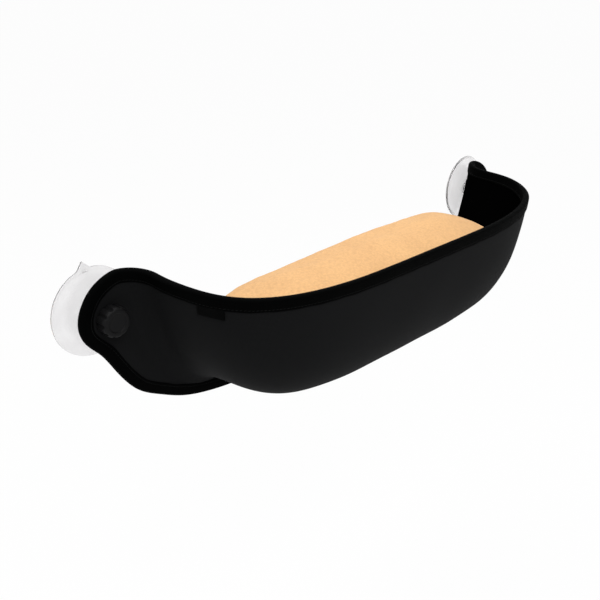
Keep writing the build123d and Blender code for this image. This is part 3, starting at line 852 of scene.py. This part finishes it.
def knit_group():
    """Fine knitted loops on flat coordinates: their mask and their normal."""
    tree, given, result = group_tree("knit_loops", {"Loops per metre": 1100.0, "Depth": 0.25}, vector=True)
    scaled = add_node(tree, "ShaderNodeVectorMath", {0: given.outputs["Vector"]}, operation="SCALE")
    tree.links.new(given.outputs["Loops per metre"], scaled.inputs["Scale"])
    waves = []
    for direction, scale, bend in (("X", 0.32, 0.5), ("Y", 0.26, 1.2)):
        values = {"Vector": scaled.outputs[0], "Scale": scale, "Distortion": bend}
        waves.append(add_node(tree, "ShaderNodeTexWave", values, bands_direction=direction).outputs["Fac"])
    both = joined(tree, "MULTIPLY", *waves)
    return raised(tree, result, both, given.outputs["Depth"], 0.0003)


def drift_group():
    """Slow drift of tone over a surface, with fine speckle, as a mask."""
    tree, given, result = group_tree(
        "tone_drift", {"Patches per metre": 14.0, "Speckles per metre": 600.0, "Speckle": 0.25}, normal=False)
    slow = object_noise(tree, given.outputs["Patches per metre"], 4.0)
    fast = object_noise(tree, given.outputs["Speckles per metre"], 2.0)
    mixed = add_node(tree, "ShaderNodeMix", {
        "Factor": given.outputs["Speckle"], 2: slow.outputs["Fac"], 3: fast.outputs["Fac"]})
    tree.links.new(mixed.outputs[0], result.inputs["Mask"])
    return tree


def pile_group():
    """Short soft pile in clumps: its mask and normal."""
    tree, given, result = group_tree("soft_pile", {"Clumps per metre": 320.0, "Depth": 0.6})
    place = tree.nodes.new("ShaderNodeTexCoord").outputs["Object"]
    twist = object_noise(tree, 90.0, 3.0).outputs["Color"]
    moved = add_node(tree, "ShaderNodeMix", {"Factor": 0.012, 4: place, 5: twist}, data_type="VECTOR")
    spread = {"Vector": moved.outputs[1], "Scale": given.outputs["Clumps per metre"]}
    clumps = add_node(tree, "ShaderNodeTexVoronoi", spread, feature="F1").outputs["Distance"]
    fibres = object_noise(tree, 1500.0, 4.0, Roughness=0.75).outputs["Fac"]
    height = add_node(tree, "ShaderNodeMath", {0: clumps, 1: -0.6, 2: fibres}, operation="MULTIPLY_ADD")
    return raised(tree, result, height.outputs[0], given.outputs["Depth"], 0.0016)


def wear_group():
    """Light scratches and handling marks of a hard surface: a mask and a normal."""
    tree, given, result = group_tree("handling_marks", {"Marks per metre": 260.0, "Depth": 0.08})
    place = tree.nodes.new("ShaderNodeTexCoord").outputs["Object"]
    stretched = add_node(tree, "ShaderNodeMapping", {"Vector": place, "Scale": (1.0, 6.0, 1.0)})
    marks = add_node(tree, "ShaderNodeTexNoise", {
        "Vector": stretched.outputs[0], "Detail": 5.0, "Scale": given.outputs["Marks per metre"]})
    return raised(tree, result, marks.outputs["Fac"], given.outputs["Depth"], 0.0002)


GROUPS = {}


def placed(tree, name, maker, **values):
    """One of the shared node groups, placed in a material with its own values."""
    if name not in GROUPS:
        GROUPS[name] = maker()
    made = tree.nodes.new("ShaderNodeGroup")
    made.node_tree = GROUPS[name]
    for label, value in values.items():
        socket = made.inputs[label.replace("_", " ")]
        if isinstance(value, bpy.types.NodeSocket):
            tree.links.new(value, socket)
        else:
            socket.default_value = value
    return made


def new_material(name, **plain):
    """New material with its shader and plain values on the shader's own sockets."""
    material = bpy.data.materials.new(name)
    material.use_nodes = True
    tree = material.node_tree
    shader = next(node for node in tree.nodes if node.type == "BSDF_PRINCIPLED")
    for label, value in plain.items():
        shader.inputs[label.replace("_", " ")].default_value = value
    return material, tree, shader


def shade(colour, factor):
    """The colour made darker or lighter."""
    return tuple(min(1.0, part * factor) for part in colour)


def surfaced(tree, shader, tone, colour, shades, wear, roughness, normal):
    """Joins a material's varied colour, roughness and normal to its shader."""
    low, high = ((*shade(colour, factor), 1) for factor in shades)
    mixed = add_node(tree, "ShaderNodeMix", {"Factor": tone, 6: low, 7: high}, data_type="RGBA")
    least, most = roughness
    rough = add_node(tree, "ShaderNodeMapRange", {"Value": wear, "To Min": least, "To Max": most})
    tree.links.new(mixed.outputs[2], shader.inputs["Base Color"])
    tree.links.new(rough.outputs[0], shader.inputs["Roughness"])
    tree.links.new(normal, shader.inputs["Normal"])


def cloth_material(name, colour, loops, depth, roughness, sheen=0.0, gloss=0.0):
    """Knitted fabric face on the cloth's own flat coordinates."""
    material, tree, shader = new_material(
        name, Sheen_Weight=sheen, Sheen_Roughness=0.55, Specular_IOR_Level=gloss)
    chart = add_node(tree, "ShaderNodeUVMap", uv_map="cloth")
    knit = placed(tree, "knit", knit_group, Vector=chart.outputs[0], Loops_per_metre=loops, Depth=depth)
    drift = placed(tree, "drift", drift_group, Patches_per_metre=9.0, Speckle=0.35).outputs["Mask"]
    both = joined(tree, "MULTIPLY", knit.outputs["Mask"], drift)
    surfaced(tree, shader, both, colour, (0.55, 2.3), drift, (roughness - 0.08, roughness + 0.08),
             knit.outputs["Normal"])
    return material


def tape_material(colour):
    """Tape with fine ribs across it."""
    material, tree, shader = new_material("ribbed_tape", Specular_IOR_Level=0.01)
    chart = add_node(tree, "ShaderNodeUVMap", uv_map="cloth")
    knit = placed(tree, "knit", knit_group, Vector=chart.outputs[0], Loops_per_metre=1500.0, Depth=0.45)
    drift = placed(tree, "drift", drift_group, Patches_per_metre=30.0, Speckle=0.3).outputs["Mask"]
    surfaced(tree, shader, knit.outputs["Mask"], colour, (0.6, 1.9), drift, (0.55, 0.75),
             knit.outputs["Normal"])
    return material


def fleece_material(colour):
    """Short peach fleece."""
    material, tree, shader = new_material(
        "peach_fleece", Sheen_Weight=0.25, Sheen_Roughness=0.5, Sheen_Tint=(1.0, 0.80, 0.62, 1.0),
        Specular_IOR_Level=0.05,
    )
    pile = placed(tree, "pile", pile_group, Clumps_per_metre=330.0, Depth=0.55)
    drift = placed(tree, "drift", drift_group, Patches_per_metre=16.0, Speckle=0.3).outputs["Mask"]
    both = joined(tree, "ADD", pile.outputs["Mask"], drift)
    spread = add_node(tree, "ShaderNodeMapRange", {"Value": both, "From Min": 0.35, "From Max": 1.15})
    surfaced(tree, shader, spread.outputs[0], colour, (0.84, 1.10), pile.outputs["Mask"], (0.85, 1.0),
             pile.outputs["Normal"])
    return material


def hard_material(name, colour, roughness, metallic=0.0, marks=260.0, depth=0.08, **plain):
    """Moulded plastic, thread or metal with light handling marks."""
    material, tree, shader = new_material(name, Metallic=metallic, **plain)
    wear = placed(tree, "wear", wear_group, Marks_per_metre=marks, Depth=depth)
    surfaced(tree, shader, wear.outputs["Mask"], colour, (0.88, 1.12), wear.outputs["Mask"],
             (max(0.02, roughness - 0.06), roughness + 0.06), wear.outputs["Normal"])
    return material


def clothe(made, material):
    """Gives an object one material."""
    made.data.materials.clear()
    made.data.materials.append(material)


def finish_node(node, material):
    """Gives a solid that stays visible its material."""
    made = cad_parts[node]
    for slot in made.material_slots:
        slot.material = material
    if not made.material_slots:
        made.data.materials.append(material)


# Operators and panel


class PERCH_OT_stage(Operator):
    """Makes the camera, the soft lights, the floor and the background"""

    bl_idname = "perch.stage"
    bl_label = "Stage"

    def execute(self, context):
        settings = context.scene.perch_stage
        scene = context.scene
        lens = bpy.data.cameras.new("camera")
        lens.sensor_width, lens.lens, lens.clip_end = CAMERA_SENSOR, CAMERA_LENS, 2 * FLOOR_RADIUS
        camera = bpy.data.objects.new("camera", lens)
        scene.collection.objects.link(camera)
        yaw, pitch, roll = (math.radians(angle) for angle in CAMERA_TURNS)
        ahead = Vector((math.sin(yaw) * math.cos(pitch), math.cos(yaw) * math.cos(pitch), math.sin(pitch)))
        side = Vector((math.cos(yaw), -math.sin(yaw), 0))
        up = side.cross(ahead)
        right = side * math.cos(roll) + up * math.sin(roll)
        over = up * math.cos(roll) - side * math.sin(roll)
        turn = Matrix((right, over, -ahead)).transposed().to_4x4()
        camera.matrix_world = Matrix.Translation(CAMERA_PLACE) @ turn
        scene.camera = camera
        for name, place, size, share in LIGHTS:
            self.light(scene, name, place, size, settings.key_power * share)
        self.floor(settings)
        self.world(scene)
        scene.view_settings.view_transform = "Standard"
        return {"FINISHED"}

    def light(self, scene, name, place, size, power):
        """Soft square light that looks at the perch."""
        lamp = bpy.data.lights.new(name, "AREA")
        lamp.size = size
        lamp.energy = power
        made = bpy.data.objects.new(name, lamp)
        made.location = place
        made.rotation_euler = (Vector(LIGHT_AIM) - Vector(place)).to_track_quat("-Z", "Y").to_euler()
        scene.collection.objects.link(made)

    def floor(self, settings):
        """Pale floor, nearly white where it is seen directly."""
        turns = np.linspace(0, 2 * math.pi, 65)[:-1]
        points = np.stack([np.cos(turns), np.sin(turns), np.zeros(64)], axis=1) * FLOOR_RADIUS
        points[:, 2] = -settings.floor_drop
        floor = new_object("floor", points / MILLIMETRE, [tuple(range(64))], smooth=False)
        material, tree, shader = new_material("pale_floor", Roughness=0.9, Specular_IOR_Level=0.1)
        shader.inputs["Base Color"].default_value = (*settings.floor_colour, 1)
        glow = add_node(tree, "ShaderNodeEmission", {"Color": (1, 1, 1, 1), "Strength": 1.0})
        share = joined(tree, "MULTIPLY", seen_directly(tree), FLOOR_GLOW)
        mixed = add_node(tree, "ShaderNodeMixShader", {0: share, 1: shader.outputs[0], 2: glow.outputs[0]})
        output = next(node for node in tree.nodes if node.type == "OUTPUT_MATERIAL")
        tree.links.new(mixed.outputs[0], output.inputs["Surface"])
        clothe(floor, material)

    def world(self, scene):
        """Pale world, white where it is seen directly."""
        scene.world = bpy.data.worlds.new("pale_world")
        scene.world.use_nodes = True
        tree = scene.world.node_tree
        ground = next(node for node in tree.nodes if node.type == "BACKGROUND")
        ground.inputs["Color"].default_value = (1, 1, 1, 1)
        strength = add_node(
            tree, "ShaderNodeMapRange", {"Value": seen_directly(tree), "To Min": WORLD_LIGHT, "To Max": 1.0})
        tree.links.new(strength.outputs[0], ground.inputs["Strength"])


class PERCH_OT_hull(Operator):
    """Makes the outer face, the lining and the core of the hull and its ears"""

    bl_idname = "perch.hull"
    bl_label = "Hull"

    def execute(self, context):
        settings = context.scene.perch_fabric
        grid, normals, run_of, length = sheet_grid()
        middle = grid + normals * soft_folds(grid, run_of, length, settings.fold_depth)[..., None]
        whole = np.zeros(length.size, bool)
        bare = (edge_distance(grid, length) < CORE_MARGIN).ravel()
        outer, lining, core = (
            shell_between(name, middle + normals * low, middle + normals * high, run_of, length, left_out)
            for name, low, high, left_out in (
                ("hull_cover", FACE_INSIDE, SHEET_HALF, whole),
                ("hull_lining", -SHEET_HALF, -FACE_INSIDE, whole),
                ("hull_core", -CORE_HALF, CORE_HALF, bare)))
        self.cut_eyelet_holes((outer, lining, core))
        edges_sharp(outer, 1.0)
        edges_sharp(lining, 1.0)
        clothe(outer, cloth_material("scuba_face", settings.face_colour, 900.0, 0.30, 0.80, 0.004, 0.05))
        clothe(lining, cloth_material("scuba_lining", settings.lining_colour, 900.0, 0.30, 0.85))
        clothe(core, hard_material("core_board", (0.09, 0.09, 0.09), 0.6, marks=120.0))
        for made, node in ((outer, "outer_cover"), (lining, "lining"), (core, "core_sheet")):
            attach(made, "bed")
            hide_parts(node)
        return {"FINISHED"}

    def cut_eyelet_holes(self, layers):
        """Cuts the holes of the two eyelets through the layers of the sheet."""
        for sign in (-1, 1):
            outline = [(0, PUNCH_START), (HOLE_RADIUS, PUNCH_START), (HOLE_RADIUS, PUNCH_END), (0, PUNCH_END)]
            punch = spun("punch", outline, 48)
            to_axis(punch, sign)
            for layer in layers:
                cut = layer.modifiers.new("hole", "BOOLEAN")
                cut.operation = "DIFFERENCE"
                cut.solver = "EXACT"
                cut.object = punch
                baked_mesh(layer)
            bpy.data.objects.remove(punch, do_unlink=True)


class PERCH_OT_tape(Operator):
    """Makes the binding tape all round the sheet and its stitches"""

    bl_idname = "perch.tape"
    bl_label = "Edge tape"

    def execute(self, context):
        settings = context.scene.perch_fabric
        seam = edge_frames(), settings.tape_width / MILLIMETRE, settings.stitch_pitch / MILLIMETRE
        tape, stitches = make_tape(*seam), make_stitches(*seam)
        clothe(tape, tape_material(settings.tape_colour))
        clothe(stitches, hard_material(
            "thread", shade(settings.tape_colour, 2.0), 0.7, marks=2400.0, depth=0.4, Specular_IOR_Level=0.1))
        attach(tape, "bed")
        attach(stitches, "bed")
        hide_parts("rim_binding", "back_binding")
        return {"FINISHED"}


class PERCH_OT_label(Operator):
    """Makes the bare woven tab under the rim tape"""

    bl_idname = "perch.label"
    bl_label = "Label"

    def execute(self, context):
        settings = context.scene.perch_fabric
        columns, rows = 40, 14
        layers = []
        for face in (0, 1):
            layer = []
            for column in range(columns):
                part = column / (columns - 1)
                rim, down, out = rim_frame(LABEL_RUN + LABEL_LENGTH * (0.5 - part))
                hem_fold = 0.28 * sum(math.exp(-((part - fold) / 0.035) ** 2) for fold in (0.07, 0.93))
                for row in range(rows):
                    share = row / (rows - 1)
                    curl = 0.75 * share**2 * (0.35 + 0.65 * part**2) + 0.12 * math.sin(part * 7 + 1) * share
                    far_out = SHEET_HALF + 0.35 + face * (LABEL_THICKNESS + hem_fold) + curl
                    layer.append((rim + down * (LABEL_TOP + LABEL_DROP * share) + out * far_out) * MIRROR)
            layers.append(np.array(layer).reshape(columns, rows, 3))
        run_of = np.linspace(0, LABEL_LENGTH, columns)
        length = np.repeat(np.linspace(0, LABEL_DROP, rows)[None], columns, axis=0)
        whole = np.zeros(length.size, bool)
        label = shell_between("bare_label", *layers, run_of, length, whole)
        edges_sharp(label, 1.0)
        colour = shade(settings.tape_colour, 1.3)
        clothe(label, cloth_material("woven_label", colour, 2400.0, 0.35, 0.6, gloss=0.02))
        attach(label, "bed")
        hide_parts("rim_label")
        return {"FINISHED"}


class PERCH_OT_cushion(Operator):
    """Makes the fleece cushion, filled by a cloth simulation"""

    bl_idname = "perch.cushion"
    bl_label = "Cushion"

    def execute(self, context):
        settings = context.scene.perch_cushion
        lining = bpy.data.objects.get("hull_lining")
        if lining is None:
            raise RuntimeError("the hull is made before the cushion")
        points, faces = cushion_base()
        cushion = new_object("fleece_cushion", points, faces)
        remesh = cushion.modifiers.new("cells", "REMESH")
        remesh.mode = "VOXEL"
        remesh.voxel_size = settings.voxel
        baked_mesh(cushion)
        smoothed(cushion, 0.6, 10)
        filled_by_cloth(cushion, settings.pressure, settings.swell)
        self.rounded_ends(cushion)
        kept_inside(cushion, lining.data, 0.0012)
        smoothed(cushion, 0.5, 4)
        finer = cushion.modifiers.new("finer", "SUBSURF")
        finer.levels = finer.render_levels = 1
        baked_mesh(cushion)
        cushion.data.polygons.foreach_set("use_smooth", [True] * len(cushion.data.polygons))
        cushion_detail(cushion)
        kept_inside(cushion, lining.data, 0.0006)
        cushion.data.update()
        clothe(cushion, fleece_material(settings.fleece_colour))
        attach(cushion, "cushion")
        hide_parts("cushion_cover", "cushion_filling")
        return {"FINISHED"}

    def rounded_ends(self, cushion):
        """Smooths the two ends of the cushion more than its middle."""
        ends = cushion.vertex_groups.new(name="ends")
        for number, place in enumerate(vertices_of(cushion.data)):
            weight = min(1.0, max(0.0, (abs(place[0]) / MILLIMETRE - SOFT_START) / SOFT_LENGTH))
            if weight > 0:
                ends.add([number], weight, "REPLACE")
        smoothed(cushion, 0.5, 28, ends.name)


class PERCH_OT_cups(Operator):
    """Makes the clear suction cups with their pull tabs"""

    bl_idname = "perch.cups"
    bl_label = "Suction cups"

    def execute(self, context):
        settings = context.scene.perch_fittings
        plastic = hard_material(
            "clear_soft_plastic", settings.cup_colour, 0.16, marks=60.0, depth=0.05, Transmission_Weight=0.90,
            IOR=1.42, Specular_IOR_Level=0.4,
        )
        corners = [
            (0, 3.4), (12.6, 3.3), (24.75, 2.86), (36, 1.7), (41, 0), (45, 0),
            (45, 1.3), (40.95, 2.85), (34.2, 4.94), (26.1, 6.65), (18, 7.98), (12, 9.5),
            (12, 18.9), (4.1, 18.9), (4.1, 11.1), (7.6, 11.1), (7.6, 6.9), (0, 6.9),
        ]
        outline = rounded_outline(corners, [0, 4, 4, 3, 0.3, 0.3, 0.5, 3, 3, 3, 3, 2.2, 0.8, 0.3, 0, 0, 0, 0])
        for side, sign, tab in (("left", -1, 98.0), ("right", 1, -62.0)):
            cup = spun(f"clear_cup_{side}", outline, 288, self.with_tab(math.radians(tab)))
            to_axis(cup, sign)
            edges_sharp(cup, 0.7)
            clothe(cup, plastic)
            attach(cup, f"cup_{side}")
            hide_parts(f"suction_cup_{side}")
        return {"FINISHED"}

    def with_tab(self, tab):
        """Reshapes the cup's lip into a pointed pull tab at an angle, and raises a fine ridge round the cup's
        outer face near the lip.
        """
        def reshape(angle, radius, away):
            off = (angle - tab + math.pi) % (2 * math.pi) - math.pi
            reach = max(0.0, 1 - abs(off) / math.radians(11.5))
            lip = min(1.0, max(0.0, (radius - 41.2) / 2.5))
            if reach > 0 and lip > 0:
                full = min(1, reach * 2)
                lifted = 0.32 if away < 0.6 else 1.9 * full + away * (1 - full)
                return radius + 8.0 * reach**1.55 * lip, max(away, lifted)
            ridge = 0.12 * math.exp(-((radius - 38.2) / 0.9) ** 2) if away > 2.2 else 0
            return radius, away + ridge
        return reshape


class PERCH_OT_knobs(Operator):
    """Makes the fluted knobs and finishes the metal pieces on their axes"""

    bl_idname = "perch.knobs"
    bl_label = "Knobs"

    def execute(self, context):
        settings = context.scene.perch_fittings
        plastic = hard_material(
            "knob_plastic", settings.knob_colour, 0.5, marks=500.0, depth=0.12, Specular_IOR_Level=0.10)
        start, end = 28.35, 41.35
        corners = [
            (0, 38.3), (4.4, 38.3), (4.4, 34.95), (7.62, 34.95), (7.62, start), (14.7, start),
            (15, start + 0.5), (15, end - 2.0), (13.2, end), (9.6, end), (9.3, end - 0.95), (0, end - 0.95),
        ]
        outline = rounded_outline(corners, [0, 0, 0, 0, 0, 0.3, 0.3, 1.6, 1.2, 0.5, 0.5, 0], 6)
        for side, sign in (("left", -1), ("right", 1)):
            knob = spun(f"fluted_knob_{side}", outline, 320, self.fluted(settings.flutes))
            to_axis(knob, sign)
            edges_sharp(knob, 0.9)
            clothe(knob, plastic)
            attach(knob, f"knob_{side}")
            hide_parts(f"knob_{side}")
        zinc = hard_material("zinc_steel", settings.metal_colour, 0.32, metallic=1.0, marks=900.0, depth=0.15)
        black = hard_material("black_steel", (0.03, 0.03, 0.032), 0.4, metallic=0.9, marks=700.0, depth=0.1)
        for side in ("left", "right"):
            for node in ("stud", "knob_insert"):
                finish_node(f"{node}_{side}", zinc)
            for node in ("eyelet_front", "eyelet_back", "washer"):
                finish_node(f"{node}_{side}", black)
        return {"FINISHED"}

    def fluted(self, flutes):
        """Cuts round finger flutes into the knob's outside."""
        def reshape(angle, radius, away):
            if radius < 11.5:
                return radius, away
            pitch = 2 * math.pi / flutes
            off = (angle + pitch / 2) % pitch - pitch / 2
            centre, hollow = 16.1, 2.6
            reach = hollow**2 - (centre * math.sin(off)) ** 2
            if reach <= 0:
                return radius, away
            limit = centre * math.cos(off) - math.sqrt(reach)
            soft = 0.25
            return -soft * math.log(math.exp(-radius / soft) + math.exp(-limit / soft)), away
        return reshape


class PERCH_PT_panel(Panel):
    """Lists the pieces of the perch and their sizes and colours"""

    bl_idname = "PERCH_PT_panel"
    bl_label = "Window cat perch"
    bl_space_type = "VIEW_3D"
    bl_region_type = "UI"
    bl_category = "Perch"

    def draw(self, context):
        for title, holder, names in PANEL_ROWS:
            box = self.layout.box()
            box.label(text=title)
            for name in names:
                box.operator(name)
            settings = getattr(context.scene, holder)
            for label in settings.__annotations__:
                box.prop(settings, label)


PANEL_ROWS = (
    ("Stage", "perch_stage", ("perch.stage",)),
    ("Fabric", "perch_fabric", ("perch.hull", "perch.tape", "perch.label")),
    ("Cushion", "perch_cushion", ("perch.cushion",)),
    ("Cups and knobs", "perch_fittings", ("perch.cups", "perch.knobs")),
)

SETTINGS = (
    ("perch_fabric", PerchFabric),
    ("perch_cushion", PerchCushion),
    ("perch_fittings", PerchFittings),
    ("perch_stage", PerchStage),
)

CLASSES = (
    PerchFabric, PerchCushion, PerchFittings, PerchStage, PERCH_OT_stage, PERCH_OT_hull, PERCH_OT_tape,
    PERCH_OT_label, PERCH_OT_cushion, PERCH_OT_cups, PERCH_OT_knobs, PERCH_PT_panel,
)


def register():
    """Registers the classes and puts their settings on the scene."""
    for kind in CLASSES:
        bpy.utils.register_class(kind)
    for name, kind in SETTINGS:
        setattr(bpy.types.Scene, name, PointerProperty(type=kind))


def unregister():
    """Takes the settings off the scene and unregisters the classes."""
    for name, kind in SETTINGS:
        delattr(bpy.types.Scene, name)
    for kind in reversed(CLASSES):
        bpy.utils.unregister_class(kind)


def main():
    """Makes the whole perch."""
    register()
    bpy.ops.perch.stage()
    bpy.ops.perch.hull()
    bpy.ops.perch.tape()
    bpy.ops.perch.label()
    bpy.ops.perch.cushion()
    bpy.ops.perch.cups()
    bpy.ops.perch.knobs()


if __name__ == "__main__":
    main()
